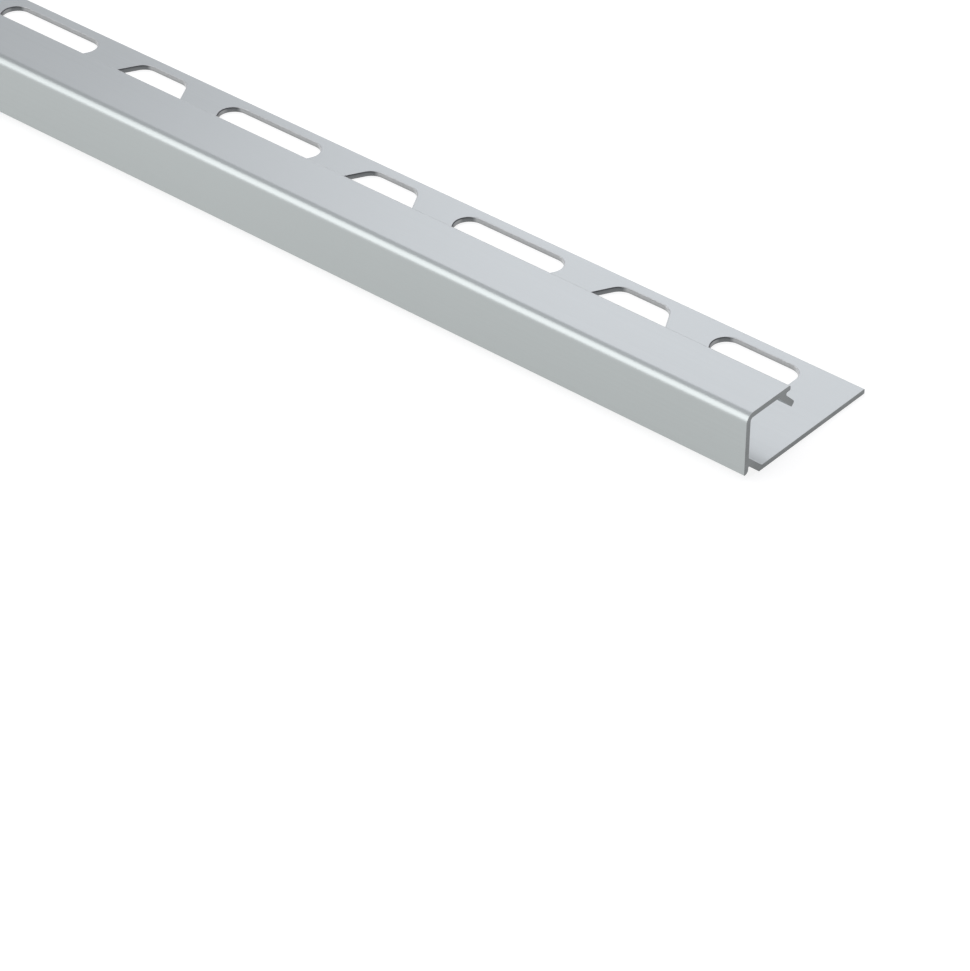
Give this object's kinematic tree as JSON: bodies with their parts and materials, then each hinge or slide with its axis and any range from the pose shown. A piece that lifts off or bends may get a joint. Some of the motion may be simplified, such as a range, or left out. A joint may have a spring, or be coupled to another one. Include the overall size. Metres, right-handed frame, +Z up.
{
  "type": "tile edge trim",
  "caption": "Square-edge aluminium trim for tiled edges: hooked edge with lip, strut and spacer foot, and a flat anchoring leg with turned-over trapezoid slots.",
  "frame": {"origin": "middle of the bar's underside: half way along its length and half way from the face to the leg's free edge, on the floor under the leg", "axes": "+X along the bar to the cut end that the picture shows, +Y from the visible face to the leg's free edge, +Z up from the leg's underside to the arm"},
  "size_m": [2.5, 0.0274, 0.011],
  "materials": {
    "anodised_aluminium": "satin natural anodised"
  },
  "bodies": {
    "root": {"trim_profile": "anodised_aluminium"}
  },
  "joints": []
}
